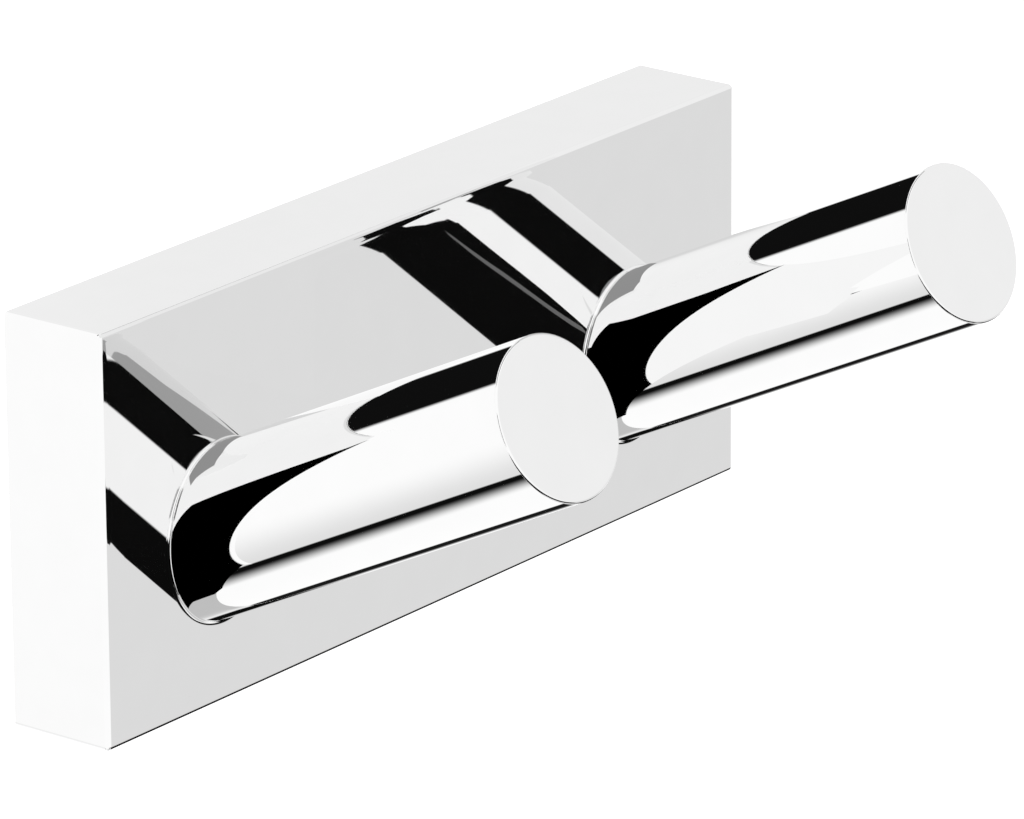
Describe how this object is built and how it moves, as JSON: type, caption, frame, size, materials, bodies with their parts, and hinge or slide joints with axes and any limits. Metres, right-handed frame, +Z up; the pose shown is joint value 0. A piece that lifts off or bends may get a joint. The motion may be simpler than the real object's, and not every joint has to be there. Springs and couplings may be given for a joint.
{
  "type": "double robe hook",
  "caption": "Double robe hook: a polished chrome rectangular plate on a hidden wall bracket, with round pegs that tilt upwards to hold robes and towels.",
  "frame": {"origin": "centre of the plate's back, on the wall", "axes": "+X to the right when facing the hook, +Y into the wall, +Z up"},
  "size_m": [0.12, 0.0667, 0.0531],
  "materials": {
    "chrome": "polished chrome plating",
    "bracket_steel": "mill finish stainless sheet",
    "zinc_plated_steel": "bright zinc plated",
    "spring_steel": "oiled spring steel",
    "stainless_steel": "turned stainless steel"
  },
  "bodies": {
    "root": {"cover_plate": "chrome", "left_peg": "chrome", "right_peg": "chrome", "wall_bracket": "bracket_steel", "left_peg_screw": "zinc_plated_steel", "right_peg_screw": "zinc_plated_steel", "left_plain_washer": "zinc_plated_steel", "right_plain_washer": "zinc_plated_steel", "left_lock_washer": "spring_steel", "right_lock_washer": "spring_steel", "left_locating_pin": "stainless_steel", "right_locating_pin": "stainless_steel", "left_grub_screw": "stainless_steel", "right_grub_screw": "stainless_steel"}
  },
  "joints": []
}
